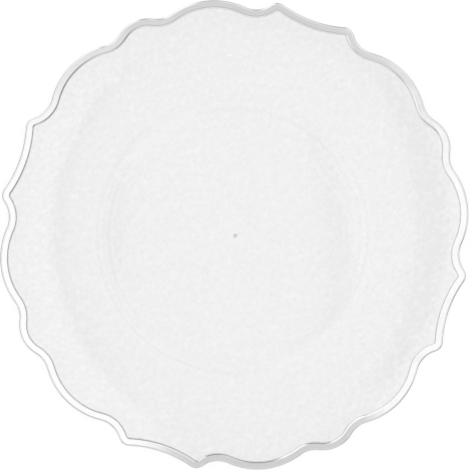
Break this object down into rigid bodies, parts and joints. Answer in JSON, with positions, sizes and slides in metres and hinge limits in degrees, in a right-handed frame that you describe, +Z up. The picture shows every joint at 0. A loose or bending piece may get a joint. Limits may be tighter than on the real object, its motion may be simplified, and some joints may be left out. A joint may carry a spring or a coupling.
{
  "type": "charger plate",
  "caption": "Shallow round charger plate of clear hammered plastic with a scalloped edge, a raised bead silvered all round and a foot ring, set under a dinner plate.",
  "frame": {"origin": "on the plate's axis, in the plane that the foot ring rests on", "axes": "+Z up out of the dish; +X through the middle lobe of a group of lobes on the edge"},
  "size_m": [0.33, 0.33, 0.0152],
  "materials": {
    "clear_plastic": "clear, water-white moulding with a fine hammered relief on its underside",
    "silver": "bright metallised silver"
  },
  "bodies": {
    "root": {"plate_body": "clear_plastic", "silver_rim": "silver"}
  },
  "joints": []
}
